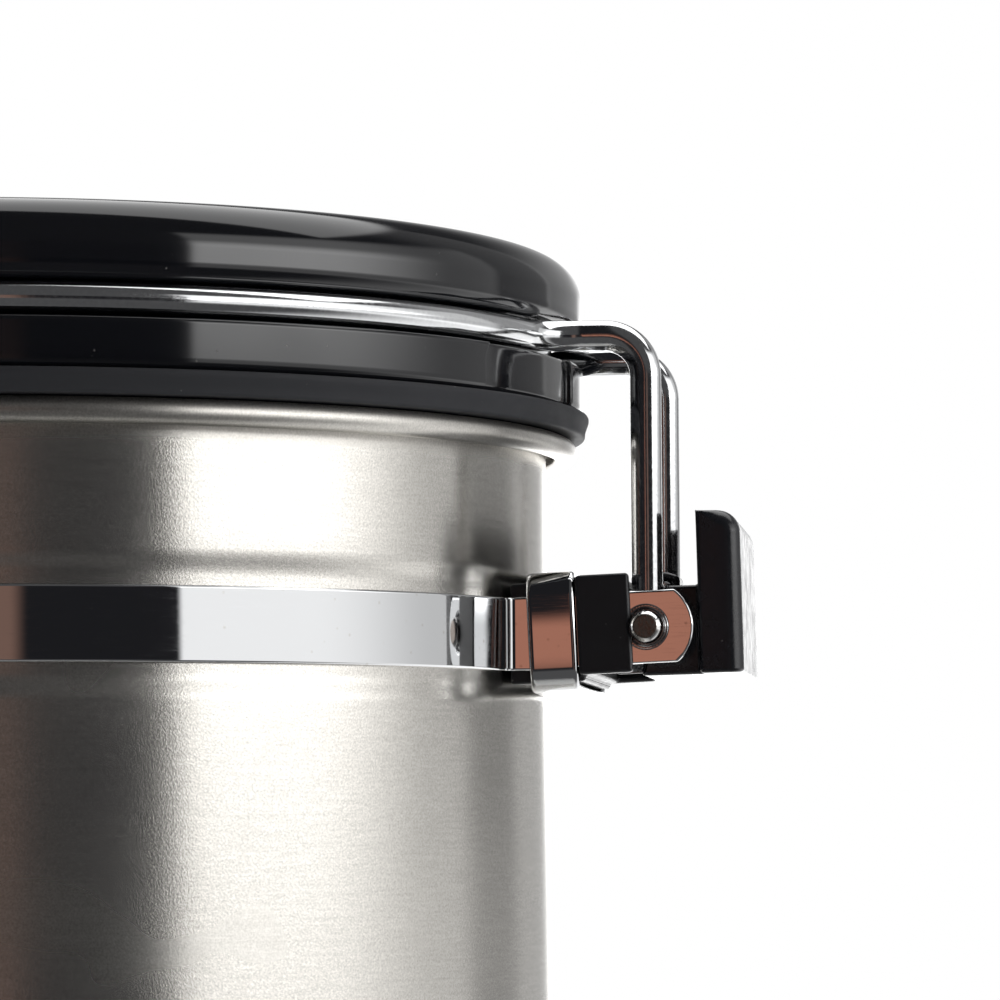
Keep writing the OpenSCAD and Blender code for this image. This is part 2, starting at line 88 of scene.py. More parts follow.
# Stainless steel, brushed round the can and then blasted: reflections blur mostly up and down, and a fine grain
# sparkles where light and dark meet. A grain is 0.25 mm wide, and a brush line is 4 mm long and 0.25 mm wide.
GRAINS_PER_METRE = (5000, 5000, 5000)
LINES_PER_METRE = (250, 250, 4000)
brushed_steel, tree, shader = new_finish("brushed_stainless_steel", "#CECBC5", 1.0, 0.25, {"Anisotropic": 0.65})
grains = stretched_noise(tree, GRAINS_PER_METRE, 1.0)
lines = stretched_noise(tree, LINES_PER_METRE, 2.0)
clouds = stretched_noise(tree, (35, 35, 60), 2.0)
mixed = add_node(tree, "ShaderNodeMath", {"operation": "MULTIPLY_ADD"}, {1: 0.4}, {0: lines.outputs["Fac"], 2: grains.outputs["Fac"]})
share = ranged(tree, mixed.outputs["Value"], 0.0, 1.0, 0.4, 1.0)
tone = add_node(tree, "ShaderNodeMix", {"data_type": "RGBA"}, {"A": srgb("#BAB7B1"), "B": srgb("#D8D5CF")},
                {"Factor": share.outputs["Result"]})
worn = ranged(tree, clouds.outputs["Fac"], 0.2, 0.31, 0.1, 0.9)
level = add_node(tree, "ShaderNodeSeparateXYZ", links={0: add_node(tree, "ShaderNodeTexCoord").outputs["Object"]})
rim = ranged(tree, level.outputs["Z"], 0.0, 0.08, 0.155, 0.1568)
blur = add_node(tree, "ShaderNodeMath", {"operation": "ADD"}, links={0: worn.outputs["Result"], 1: rim.outputs["Result"]})
pitted = add_node(tree, "ShaderNodeBump", values={"Strength": 0.65, "Distance": 0.00001}, links={"Height": grains.outputs["Fac"]})
around = add_node(tree, "ShaderNodeTangent", {"direction_type": "RADIAL", "axis": "Z"})
tree.links.new(tone.outputs["Result"], shader.inputs["Base Color"])
tree.links.new(blur.outputs["Value"], shader.inputs["Roughness"])
tree.links.new(pitted.outputs["Normal"], shader.inputs["Normal"])
tree.links.new(around.outputs["Tangent"], shader.inputs["Tangent"])
shader.inputs["Anisotropic Rotation"].default_value = 0.25


def dress(node, finish):
    """Gives a CAD node its material."""
    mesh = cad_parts[node].data
    mesh.materials.clear()
    mesh.materials.append(finish)


dress("can_base", brushed_steel)


# Can wall: a drawn stainless tube with a soft groove rolled in for the clamp strap, and a lip that flares out and
# curls down into a round rim. The tube is one closed skin, a profile turned about the can's axis.

WALL = 0.8
NECK_R = 58.0
FOOT_R = 59.2
GROOVE_R = 57.7
GROOVE_LOW, GROOVE_HIGH = 133.8, 142.8
SLOPE = 2.6
RIM_Z = 159.0
LIP_R = 1.9
CURL_R, CURL_IN_R = 1.25, 0.65
CURL_X = 59.95


def arc(cx, cz, r, start, end, count):
    """Points (cx + r cos a, cz + r sin a), with a running evenly from start to end in degrees."""
    a = np.radians(np.linspace(start, end, count))
    return np.stack([cx + r * np.cos(a), cz + r * np.sin(a)], 1)


def mesh_piece(name, points, faces, finish):
    """A smooth-shaded object from points in millimetres and faces."""
    mesh = bpy.data.meshes.new(name)
    mesh.from_pydata((np.asarray(points) * MM).tolist(), [], faces)
    mesh.polygons.foreach_set("use_smooth", np.ones(len(mesh.polygons), bool))
    mesh.materials.append(finish)
    piece = bpy.data.objects.new(name, mesh)
    bpy.context.collection.objects.link(piece)
    return piece


def wrapped_quads(rows, columns, first=0):
    """Quads of a grid that closes in both directions. The point of row i and column j is first + i * columns + j."""
    i, j = np.meshgrid(np.arange(rows), np.arange(columns), indexing="ij")
    ni, nj = (i + 1) % rows, (j + 1) % columns
    return (first + np.stack([i * columns + j, ni * columns + j, ni * columns + nj, i * columns + nj], -1)).reshape(-1, 4).tolist()


def turned(profile, angles):
    """A profile (radius, height) turned about Z: x = r cos a, y = r sin a, z = height, one row for each angle."""
    a = np.asarray(angles)[:, None]
    r, z = profile[:, 0][None], profile[:, 1][None]
    return np.stack([r * np.cos(a), r * np.sin(a), z + 0 * a], -1).reshape(-1, 3)


def around_axis(count):
    """Angles of a full turn, in radians, without the last one, which is the first again."""
    return np.linspace(0, 2 * np.pi, count, endpoint=False)


def eased(start, end, count):
    """Points from start to end whose radius follows half a cosine wave, without the two ends."""
    t = np.linspace(0, 1, count)[1:-1]
    return np.stack([start[0] + (end[0] - start[0]) * (1 - np.cos(np.pi * t)) / 2, start[1] + (end[1] - start[1]) * t], 1)


def straight(start, end, count):
    """Evenly spaced points from start to end, both of them included."""
    return np.linspace(start, end, count)


wall_profile = np.vstack([
    arc(FOOT_R - 0.35, 0.35, 0.35, -90, 0, 5),
    straight((FOOT_R, 1.0), (NECK_R, GROOVE_LOW - SLOPE), 40),
    eased((NECK_R, GROOVE_LOW - SLOPE), (GROOVE_R, GROOVE_LOW), 12),
    straight((GROOVE_R, GROOVE_LOW), (GROOVE_R, GROOVE_HIGH), 5),
    eased((GROOVE_R, GROOVE_HIGH), (NECK_R, GROOVE_HIGH + SLOPE), 12),
    straight((NECK_R, GROOVE_HIGH + SLOPE), (NECK_R, RIM_Z - LIP_R), 8),
    arc(NECK_R - WALL + LIP_R, RIM_Z - LIP_R, LIP_R - WALL, 172, 90, 9),
    arc(CURL_X, RIM_Z - CURL_R, CURL_IN_R, 132, -150, 22),
    arc(CURL_X, RIM_Z - CURL_R, (CURL_R + CURL_IN_R) / 2, -160, -161, 2),
    arc(CURL_X, RIM_Z - CURL_R, CURL_R, -154, 90, 34),
    arc(NECK_R - WALL + LIP_R, RIM_Z - LIP_R, LIP_R, 90, 180, 12),
    straight((NECK_R - WALL, GROOVE_HIGH + SLOPE), (GROOVE_R - WALL, GROOVE_HIGH), 6),
    straight((GROOVE_R - WALL, GROOVE_LOW), (NECK_R - WALL, GROOVE_LOW - SLOPE), 6),
    straight((NECK_R - WALL, GROOVE_LOW - SLOPE - 1), (FOOT_R - WALL, 1.0), 20),
    [(FOOT_R - WALL, 0.0)],
])
can_wall = mesh_piece("can_wall", turned(wall_profile, around_axis(320)), wrapped_quads(320, len(wall_profile)), brushed_steel)
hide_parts("can_shell")
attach(can_wall, "can")


# Clamp strap: two bands of chromed spring steel lie in the groove, and their ends turn out into flat ears with
# holes. Pressed from strip, so the cut edges are slightly round and catch the light as thin bright lines.

# Chrome plate on polished steel: a mirror with a few fine pits and hairline scratches.
# Pits are about 0.1 mm wide and a few millimetres apart. They are drawn 0.15 mm wide so that they show.
chrome, tree, shader = new_finish("polished_chrome_plate", "#DCDDDE", 1.0, 0.05)
spots = add_node(tree, "ShaderNodeTexVoronoi", values={"Scale": 600.0},
                 links={"Vector": add_node(tree, "ShaderNodeTexCoord").outputs["Object"]})
pits = ranged(tree, spots.outputs["Distance"], 1.0, 0.0, 0.05, 0.13)
hairlines = stretched_noise(tree, (400, 400, 9000), 1.0)
swirl = ranged(tree, hairlines.outputs["Fac"], 0.0, 0.05, 0.5, 0.8)
haze = add_node(tree, "ShaderNodeMath", {"operation": "MULTIPLY_ADD"}, {1: 0.04}, {0: pits.outputs["Result"], 2: swirl.outputs["Result"]})
rough = add_node(tree, "ShaderNodeMath", {"operation": "ADD"}, {1: 0.035}, {0: haze.outputs["Value"]})
dull = add_node(tree, "ShaderNodeMix", {"data_type": "RGBA"}, {"A": srgb("#DEDFE0"), "B": srgb("#D4D3D1")},
                {"Factor": pits.outputs["Result"]})
tree.links.new(rough.outputs["Value"], shader.inputs["Roughness"])
tree.links.new(dull.outputs["Result"], shader.inputs["Base Color"])


def softened(node, name, finish, edge, body, segments=3, sharp=35, rounder=None):
    """A copy of a CAD node, merged to one skin, whose edges are rounded to a radius in millimetres.
    rounder is a second radius and the plane x beyond which edges that run upwards are rounded to it."""
    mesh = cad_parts[node].data.copy()
    mesh.name = name
    skin = bmesh.new()
    skin.from_mesh(mesh)
    bmesh.ops.remove_doubles(skin, verts=skin.verts, dist=2e-6)
    bmesh.ops.dissolve_limit(skin, angle_limit=math.radians(0.5), verts=skin.verts, edges=skin.edges)
    if rounder:
        weight = skin.edges.layers.float.new("bevel_weight_edge")
        for line in skin.edges:
            ends = [corner.co for corner in line.verts]
            edge_on = abs(ends[0].y - ends[1].y) < 1e-5 and line.calc_face_angle(0) > math.radians(sharp)
            line[weight] = 1.0 if edge_on and min(end.x for end in ends) > rounder[1] * MM else 0.0
    skin.to_mesh(mesh)
    skin.free()
    mesh.materials.clear()
    mesh.materials.append(finish)
    mesh.polygons.foreach_set("use_smooth", np.ones(len(mesh.polygons), bool))
    piece = bpy.data.objects.new(name, mesh)
    bpy.context.collection.objects.link(piece)
    if rounder:
        outer = piece.modifiers.new("round_corners", "BEVEL")
        outer.width = rounder[0] * MM
        outer.segments = 5
        outer.limit_method = "WEIGHT"
        outer.use_clamp_overlap = False
    rounding = piece.modifiers.new("rounded_edges", "BEVEL")
    rounding.width = edge * MM
    rounding.segments = segments
    rounding.limit_method = "ANGLE"
    rounding.angle_limit = math.radians(sharp)
    rounding.use_clamp_overlap = False
    rounding.face_strength_mode = "FSTR_ALL"
    flatness = piece.modifiers.new("flat_faces", "WEIGHTED_NORMAL")
    flatness.use_face_influence = True
    flatness.weight = 100
    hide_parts(node)
    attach(piece, body)
    return piece


STRAP_EDGE = 0.26
for side in ("near", "far"):
    softened("strap_" + side, "clamp_strap_" + side, chrome, STRAP_EDGE, "can")


# Collars: a sleeve of folded chromed sheet slipped over the roots of the ears at the latch, and one at the hinge.
# It holds the two strap halves together, and its ends are rolled smooth.

PIN_X, PIN_Z = 69.5, 138.93
TIP = math.radians(2.5)
COLLAR_IN, COLLAR_OUT = 57.85, 62.65
COLLAR_HALF, COLLAR_HIGH = 17.25, 11.9
COLLAR_ROUND, COLLAR_WALL = 2.4, 0.8
COLLAR_GAP = 0.12
BULGE = 0.1


def sleeve(turn):
    """Sheet rolled into a rounded box. Going round it, the middle line of the corners gives (y, z), an outward
    direction and a distance, and faces stand out by BULGE times (1 - t squared) with t from -1 to 1. The sheet's
    section (x, depth) is added along that direction. The sleeve tips up about the pin. turn is -1 at the hinge."""
    wide, high = COLLAR_HALF - COLLAR_ROUND, COLLAR_HIGH / 2 - COLLAR_ROUND
    rows = []
    for corner, (y, z) in enumerate([(wide, high), (-wide, high), (-wide, -high), (wide, -high)]):
        angles = np.radians(90 * corner + np.linspace(0, 90, 13))
        rows += [(y, z, math.cos(a), math.sin(a), COLLAR_ROUND) for a in angles]
        out_y, out_z = math.cos(angles[-1]), math.sin(angles[-1])
        half = wide if corner % 2 == 0 else high
        rows += [(y - out_z * half * (1 + t), z + out_y * half * (1 + t), out_y, out_z, COLLAR_ROUND + BULGE * (1 - t * t))
                 for t in np.linspace(-1, 1, 15)[1:-1]]
    rows = np.array(rows)
    edge = COLLAR_WALL / 2
    shares = np.concatenate([np.zeros(9), [0.04, 0.96], np.ones(9), [0.96, 0.7, 0.3, 0.04]])[::-1]
    section = np.vstack([arc(0, -edge, edge, 90, 270, 9), [(0, -2 * edge)] * 2, arc(0, -edge, edge, -90, 90, 9), [(0, 0)] * 4])[::-1]
    depth = rows[:, 4][:, None] + section[:, 1][None]
    y = rows[:, 0][:, None] + rows[:, 2][:, None] * depth
    up_pin = rows[:, 1][:, None] + rows[:, 3][:, None] * depth
    inner = np.maximum(COLLAR_IN, np.sqrt((NECK_R + COLLAR_GAP) ** 2 - y ** 2)) + edge
    x = inner * (1 - shares) + (COLLAR_OUT - edge) * shares + section[:, 0][None] - PIN_X
    tipped_x = PIN_X + x * math.cos(TIP) - up_pin * math.sin(TIP)
    z = PIN_Z + x * math.sin(TIP) + up_pin * math.cos(TIP)
    return np.stack([tipped_x * turn, y * turn, z], -1).reshape(-1, 3), wrapped_quads(len(rows), len(section))


for place, turn in (("latch", 1), ("hinge", -1)):
    points, faces = sleeve(turn)
    collar = mesh_piece(place + "_sleeve", points, faces, chrome)
    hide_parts(place + "_collar")
    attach(collar, "can")


# Blocks: black moulded polypropylene between the ears. The tongue goes into the sleeve, and the head has a slot for
# each ear. Moulded parts have no sharp edges.

# Polypropylene, moulded: satin black with faint rubbed streaks and a little dust.
# Streaks are about 0.3 mm wide and 3 mm long, dust grains about 0.15 mm.


def satin_black(name, code, roughness, grain_per_metre, dust, shine=0.45):
    """Moulded black plastic: rubbed streaks in the roughness, a fine moulded texture and pale dust grains."""
    made, tree, shader = new_finish(name, code, 0.0, roughness, {"Specular IOR Level": shine})
    streaks = stretched_noise(tree, grain_per_metre, 3.0, 0.6)
    rubbed = ranged(tree, streaks.outputs["Fac"], roughness - 0.04, roughness + 0.07, 0.3, 0.75)
    specks = add_node(tree, "ShaderNodeTexVoronoi", values={"Scale": 900.0},
                      links={"Vector": add_node(tree, "ShaderNodeTexCoord").outputs["Object"]})
    dots = ranged(tree, specks.outputs["Distance"], 1.0, 0.0, 0.04, 0.12)
    where = stretched_noise(tree, (300, 300, 300), 2.0)
    few = ranged(tree, where.outputs["Fac"], 0.0, 1.0, 0.56, 0.64)
    grains = add_node(tree, "ShaderNodeMath", {"operation": "MULTIPLY"}, links={0: dots.outputs["Result"], 1: few.outputs["Result"]})
    amount = add_node(tree, "ShaderNodeMath", {"operation": "MULTIPLY"}, {1: dust}, {0: grains.outputs["Value"]})
    tone = add_node(tree, "ShaderNodeMix", {"data_type": "RGBA"}, {"A": srgb(code), "B": srgb("#9A9894")},
                    {"Factor": amount.outputs["Value"]})
    texture = stretched_noise(tree, (2500, 2500, 2500), 2.0)
    pebble = add_node(tree, "ShaderNodeBump", values={"Strength": 0.08, "Distance": 0.00005}, links={"Height": texture.outputs["Fac"]})
    tree.links.new(tone.outputs["Result"], shader.inputs["Base Color"])
    tree.links.new(rubbed.outputs["Result"], shader.inputs["Roughness"])
    tree.links.new(pebble.outputs["Normal"], shader.inputs["Normal"])
    return made


block_black = satin_black("moulded_polypropylene", "#15161B", 0.36, (330, 330, 1500), 0.5, 0.5)
BLOCK_EDGE = 0.35
for place in ("latch", "hinge"):
    softened(place + "_block", place + "_spacer", block_black, BLOCK_EDGE, "can")


# Latch pin: a turned steel rod through both ears, the block and the lever, with chamfered ends, chrome plated.
# The lever turns on it.

PIN_EDGE = 0.1
PIN_FACE_R = 1.2

# Bright drawn steel, handled: dull, slightly brown, with scratches 0.1 mm wide.
pin_steel, tree, shader = new_finish("drawn_steel", "#8A8078", 1.0, 0.3)
place = add_node(tree, "ShaderNodeTexCoord")
from_pin = add_node(tree, "ShaderNodeMapping", {"vector_type": "POINT"}, {"Location": (-PIN_X * MM, 0, -PIN_Z * MM), "Scale": (1, 0, 1)},
                    {"Vector": place.outputs["Object"]})
reach = add_node(tree, "ShaderNodeVectorMath", {"operation": "LENGTH"}, links={0: from_pin.outputs["Vector"]})
rim_share = ranged(tree, reach.outputs["Value"], 0.0, 1.0, PIN_FACE_R * MM - 0.00005, PIN_FACE_R * MM + 0.00005)
scratches = stretched_noise(tree, (6000, 900, 2500), 3.0, 0.7)
worn = ranged(tree, scratches.outputs["Fac"], 0.2, 0.5, 0.35, 0.7)
pin_tone = add_node(tree, "ShaderNodeMix", {"data_type": "RGBA"}, {"A": srgb("#6E635C"), "B": srgb("#A39A92")},
                    {"Factor": scratches.outputs["Fac"]})
bright_rim = add_node(tree, "ShaderNodeMix", {"data_type": "RGBA"}, {"B": srgb("#E4E3E2")},
                      {"A": pin_tone.outputs["Result"], "Factor": rim_share.outputs["Result"]})
polished = add_node(tree, "ShaderNodeMapRange", values={"From Min": 0.0, "From Max": 1.0, "To Max": 0.12},
                    links={"Value": rim_share.outputs["Result"], "To Min": worn.outputs["Result"]})
tree.links.new(polished.outputs["Result"], shader.inputs["Roughness"])
tree.links.new(bright_rim.outputs["Result"], shader.inputs["Base Color"])
softened("latch_pin", "lever_pin", pin_steel, PIN_EDGE, "can")


# Latch lever: black moulded nylon. Its hub turns on the pin, its hook holds the wire's crossbar down, and the thumb
# tab stands up outside. The tab's edges are well rounded and shine softly.

lever_black = satin_black("moulded_nylon", "#16171C", 0.24, (500, 500, 500), 0.6, 0.5)
LEVER_EDGE = 0.4
TAB_EDGE = (1.5, 76.4)
softened("latch_lever", "lever", lever_black, LEVER_EDGE, "lever", segments=3, rounder=TAB_EDGE)


# Bail wire: two bent lengths of chromed steel wire, one for each side of the lid, and a crossbar welded between
# their front legs. They lie in the lid's groove. The hook holds the crossbar, and the rear ends sit in the hinge ears.

# Drawn wire, chromed: softer than the strip, with drawing marks 0.1 mm wide and a few millimetres long.
wire_chrome, tree, shader = new_finish("chromed_drawn_wire", "#DADBDC", 1.0, 0.12)
marks = stretched_noise(tree, (2500, 2500, 2500), 2.0)
dimmed = ranged(tree, marks.outputs["Fac"], 0.08, 0.15, 0.3, 0.7)
wire_tone = add_node(tree, "ShaderNodeMix", {"data_type": "RGBA"}, {"A": srgb("#D0D1D2"), "B": srgb("#E2E3E4")},
                     {"Factor": marks.outputs["Fac"]})
dents = add_node(tree, "ShaderNodeBump", values={"Strength": 0.1, "Distance": 0.00001}, links={"Height": marks.outputs["Fac"]})
tree.links.new(dimmed.outputs["Result"], shader.inputs["Roughness"])
tree.links.new(wire_tone.outputs["Result"], shader.inputs["Base Color"])
tree.links.new(dents.outputs["Normal"], shader.inputs["Normal"])

WIRE_R = 1.55
RING_R = 60.3
WIRE_Z = 168.0
LEG_Y = 14.0
PIN_X = 69.5
PIN_Z = 138.93
BAR_UP, BAR_R = 3.7, 1.45
FOOT_UP = 1.95
TURN_R, DROP_R, END_R = 6.0, 4.0, 1.6
WIRE_END_Y = 18.0
TURN_A = math.asin((LEG_Y + TURN_R) / (RING_R + TURN_R))
TURN_X = (RING_R + TURN_R) * math.cos(TURN_A)


def bend(centre, across, up, r, start, end, count):
    """Arc in space: centre + r (cos a across + sin a up), with a from start to end in degrees."""
    a = np.radians(np.linspace(start, end, count))[:, None]
    return np.asarray(centre) + r * (np.cos(a) * np.asarray(across) + np.sin(a) * np.asarray(up))


def swept_tube(path, radii, sides):
    """A round tube along a path: path + radius (cos b u + sin b v), where u and v are square to the path.
    u is square to the path and to the line from a point below the lid's middle, so the tube never twists sharply."""
    way = np.gradient(path, axis=0)
    way /= np.linalg.norm(way, axis=1)[:, None]
    u = np.cross(way, path - np.array([0.0, 0.0, WIRE_Z - 30]))
    u /= np.linalg.norm(u, axis=1)[:, None]
    v = np.cross(way, u)
    b = np.linspace(0, 2 * np.pi, sides, endpoint=False)[None, :, None]
    return (path[:, None] + radii[:, None, None] * (np.cos(b) * u[:, None] + np.sin(b) * v[:, None])).reshape(-1, 3)


def tube_faces(rows, sides):
    """Quads along a tube and one flat face at each end, all facing outwards."""
    i, j = np.meshgrid(np.arange(rows - 1), np.arange(sides), indexing="ij")
    nj = (j + 1) % sides
    quads = np.stack([i * sides + j, i * sides + nj, (i + 1) * sides + nj, (i + 1) * sides + j], -1).reshape(-1, 4)
    return quads.tolist() + [list(range(sides))[::-1], list(range((rows - 1) * sides, rows * sides))]


X, Y, Z = np.eye(3)
turn_deg = math.degrees(TURN_A)
half_path = np.vstack([
    straight((-PIN_X, -WIRE_END_Y, PIN_Z), (-PIN_X, -WIRE_END_Y + 0.35, PIN_Z), 3),
    straight((-PIN_X, -WIRE_END_Y + 0.6, PIN_Z), (-PIN_X, -LEG_Y - END_R - 0.1, PIN_Z), 5),
    bend((-PIN_X, -LEG_Y - END_R, PIN_Z + END_R), Y, Z, END_R, -90, 0, 14),
    straight((-PIN_X, -LEG_Y, PIN_Z + END_R + 0.3), (-PIN_X, -LEG_Y, WIRE_Z - DROP_R - 0.3), 18),
    bend((-PIN_X + DROP_R, -LEG_Y, WIRE_Z - DROP_R), X, Z, DROP_R, 180, 90, 16),
    straight((-PIN_X + DROP_R + 0.2, -LEG_Y, WIRE_Z), (-TURN_X - 0.2, -LEG_Y, WIRE_Z), 6),
    bend((-TURN_X, -LEG_Y - TURN_R, WIRE_Z), X, Y, TURN_R, 90, turn_deg, 14),
    bend((0, 0, WIRE_Z), X, Y, RING_R, 180 + turn_deg + 0.6, 360 - turn_deg - 0.6, 180),
    bend((TURN_X, -LEG_Y - TURN_R, WIRE_Z), X, Y, TURN_R, 180 - turn_deg, 90, 14),
    straight((TURN_X + 0.2, -LEG_Y, WIRE_Z), (PIN_X - DROP_R - 0.2, -LEG_Y, WIRE_Z), 6),
    bend((PIN_X - DROP_R, -LEG_Y, WIRE_Z - DROP_R), X, Z, DROP_R, 90, 0, 16),
    straight((PIN_X, -LEG_Y, WIRE_Z - DROP_R - 0.3), (PIN_X, -LEG_Y, PIN_Z + FOOT_UP + 0.6), 20),
    straight((PIN_X, -LEG_Y, PIN_Z + FOOT_UP + 0.35), (PIN_X, -LEG_Y, PIN_Z + FOOT_UP), 3),
])
half_radii = np.full(len(half_path), WIRE_R)
half_radii[:3] -= [0.4, 0.18, 0.04]
half_radii[-3:] -= [0.04, 0.18, 0.4]
bar_path = straight((PIN_X, -LEG_Y, PIN_Z + BAR_UP), (PIN_X, LEG_Y, PIN_Z + BAR_UP), 24)
wire_points = np.zeros((0, 3))
wire_faces = []
for path, radii in ((half_path, half_radii), (half_path[::-1] * [1, -1, 1], half_radii[::-1]), (bar_path, np.full(24, BAR_R))):
    wire_faces += [[len(wire_points) + k for k in face] for face in tube_faces(len(path), 28)]
    wire_points = np.vstack([wire_points, swept_tube(path, radii, 28)])
bail_wire = mesh_piece("bail_wire_bent", wire_points, wire_faces, wire_chrome)
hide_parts("bail_wire")
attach(bail_wire, "lid")


# Lid shell: glossy black moulded ABS. From the edge up: a skirt with a shallow pocket under each leg of the wire, a
# groove for the wire, a round roll, and a shoulder that leads to a slightly sunk round panel.

SEAL_Z = 161.5
SKIRT_R = 61.9
SKIRT_TOP = 166.3
ROLL_R = 61.8
GROOVE_TOP = 169.7
FLOOR_R = 58.65
SHOULDER_R = 4.4
SHOULDER_Z = 173.1
LID_TOP = 178.4
PANEL_R = 47.0
PANEL_Z = 177.2
CEILING_Z = 174.8
BORE_R = 12.1
INSIDE_R = 56.0
LEDGE_R = 51.0
POCKET_DEPTH = 0.6
POCKET_NEAR, POCKET_FAR = 6.47, 28.1
POCKET_TOP = SKIRT_TOP + 0.5
POCKET_ROUND = 2.4
POCKET_WALL = 0.45

# ABS, moulded in a polished tool: deep black with a mirror gloss, very slightly wavy, with a little dust.
# The waves are 8 mm long and under a hundredth of a millimetre high. Dust grains are 0.1 to 0.2 mm.
lid_black, tree, shader = new_finish("glossy_abs", "#0E0F13", 0.0, 0.1)
specks = add_node(tree, "ShaderNodeTexVoronoi", values={"Scale": 700.0},
                  links={"Vector": add_node(tree, "ShaderNodeTexCoord").outputs["Object"]})
dots = ranged(tree, specks.outputs["Distance"], 1.0, 0.0, 0.03, 0.1)
patches = ranged(tree, stretched_noise(tree, (160, 160, 160), 2.0).outputs["Fac"], 0.0, 1.0, 0.58, 0.68)
dust = add_node(tree, "ShaderNodeMath", {"operation": "MULTIPLY"}, links={0: dots.outputs["Result"], 1: patches.outputs["Result"]})
half_dust = add_node(tree, "ShaderNodeMath", {"operation": "MULTIPLY"}, {1: 0.4}, {0: dust.outputs["Value"]})
tone = add_node(tree, "ShaderNodeMix", {"data_type": "RGBA"}, {"A": srgb("#0E0F13"), "B": srgb("#8E8C88")},
                {"Factor": half_dust.outputs["Value"]})
film = ranged(tree, stretched_noise(tree, (90, 90, 90), 3.0).outputs["Fac"], 0.06, 0.13)
gloss = add_node(tree, "ShaderNodeMath", {"operation": "MULTIPLY_ADD"}, {1: 0.4}, {0: dust.outputs["Value"], 2: film.outputs["Result"]})
waves = stretched_noise(tree, (125, 125, 125), 1.0)
sway = add_node(tree, "ShaderNodeBump", values={"Strength": 0.05, "Distance": 0.0002}, links={"Height": waves.outputs["Fac"]})
tree.links.new(tone.outputs["Result"], shader.inputs["Base Color"])
tree.links.new(gloss.outputs["Value"], shader.inputs["Roughness"])
tree.links.new(sway.outputs["Normal"], shader.inputs["Normal"])

shoulder_x = ROLL_R - SHOULDER_R
lid_profile = np.vstack([
    straight((LEDGE_R, SEAL_Z), (SKIRT_R - 1.2, SEAL_Z), 5),
    arc(0, 0, 1, -90, 0, 10) * [0.6, 0.9] + [SKIRT_R - 0.6, SEAL_Z + 0.9],
    straight((SKIRT_R, SEAL_Z + 1.1), (SKIRT_R, SKIRT_TOP - 0.5), 18),
    arc(SKIRT_R - 0.4, SKIRT_TOP - 0.4, 0.4, 0, 90, 7),
    straight((SKIRT_R - 0.8, SKIRT_TOP), (FLOOR_R + 0.3, SKIRT_TOP), 5),
    arc(FLOOR_R + 0.3, SKIRT_TOP + 0.3, 0.3, -90, -180, 4),
    straight((FLOOR_R, SKIRT_TOP + 0.6), (FLOOR_R, GROOVE_TOP - 0.6), 4),
    arc(FLOOR_R + 0.3, GROOVE_TOP - 0.3, 0.3, 180, 90, 4),
    arc(ROLL_R - 1.6, GROOVE_TOP + 1.6, 1.6, -90, 0, 14),
    straight((ROLL_R, GROOVE_TOP + 1.8), (ROLL_R, SHOULDER_Z - 0.2), 6),
    arc(shoulder_x, SHOULDER_Z, SHOULDER_R, 0, 84, 24),
    straight((56.0, 177.66), (PANEL_R + 2.4, LID_TOP - 0.02), 6),
    arc(PANEL_R + 1.9, LID_TOP - 0.5, 0.5, 84, 180, 8),
    arc(PANEL_R + 0.9, PANEL_Z + 0.5, 0.5, 0, -90, 6),
    straight((PANEL_R, PANEL_Z), (BORE_R + 0.3, PANEL_Z), 4),
    arc(BORE_R + 0.3, PANEL_Z - 0.3, 0.3, 90, 180, 4),
    straight((BORE_R, CEILING_Z), (INSIDE_R - 1.0, CEILING_Z), 3),
    arc(INSIDE_R - 1.0, CEILING_Z - 1.0, 1.0, 90, 0, 5),
    straight((INSIDE_R, CEILING_Z - 2.0), (INSIDE_R, SEAL_Z + 2.0), 4),
    straight((INSIDE_R - 1.0, SEAL_Z + 2.0), (LEDGE_R, SEAL_Z + 2.0), 3),
])
# How far a pocket pulls each point of the profile inwards: fully on the skirt, less and less along the faces
# above and below it, and not at all elsewhere.
radius, height = lid_profile[:, 0], lid_profile[:, 1]
pull = np.zeros(len(lid_profile))
skirt = (height <= SKIRT_TOP + 1e-6) & (radius > FLOOR_R + 0.31)
pull[skirt] = np.clip((radius[skirt] - FLOOR_R - 0.3) / (SKIRT_R - 0.4 - FLOOR_R - 0.3), 0, 1)
below = (height <= SEAL_Z + 1e-6) & (radius < SKIRT_R - 0.5)
pull[below] = np.clip((radius[below] - LEDGE_R) / (SKIRT_R - 0.6 - LEDGE_R), 0, 1)


def pocket_share(angles, heights):
    """1 inside a pocket and 0 outside. A pocket is a box with round upper corners, seen along X:
    the distance to its outline is the length of the parts of (|y|, z) beyond the corner's middle, less the corner.
    Across the outline the wall drops like a quarter circle, 1 less the root of 1 - t squared: a round outer edge."""
    half = (POCKET_FAR - POCKET_NEAR) / 2 - POCKET_ROUND
    sideways = np.abs(np.abs(SKIRT_R * np.sin(angles)) - (POCKET_FAR + POCKET_NEAR) / 2)[:, None] - half
    upwards = heights[None] - (POCKET_TOP - POCKET_ROUND)
    distance = np.hypot(np.maximum(sideways, 0), np.maximum(upwards, 0)) + np.minimum(np.maximum(sideways, upwards), 0) - POCKET_ROUND
    t = np.clip(0.7 - distance / POCKET_WALL, 0, 1)
    return 1 - np.sqrt(1 - t * t)


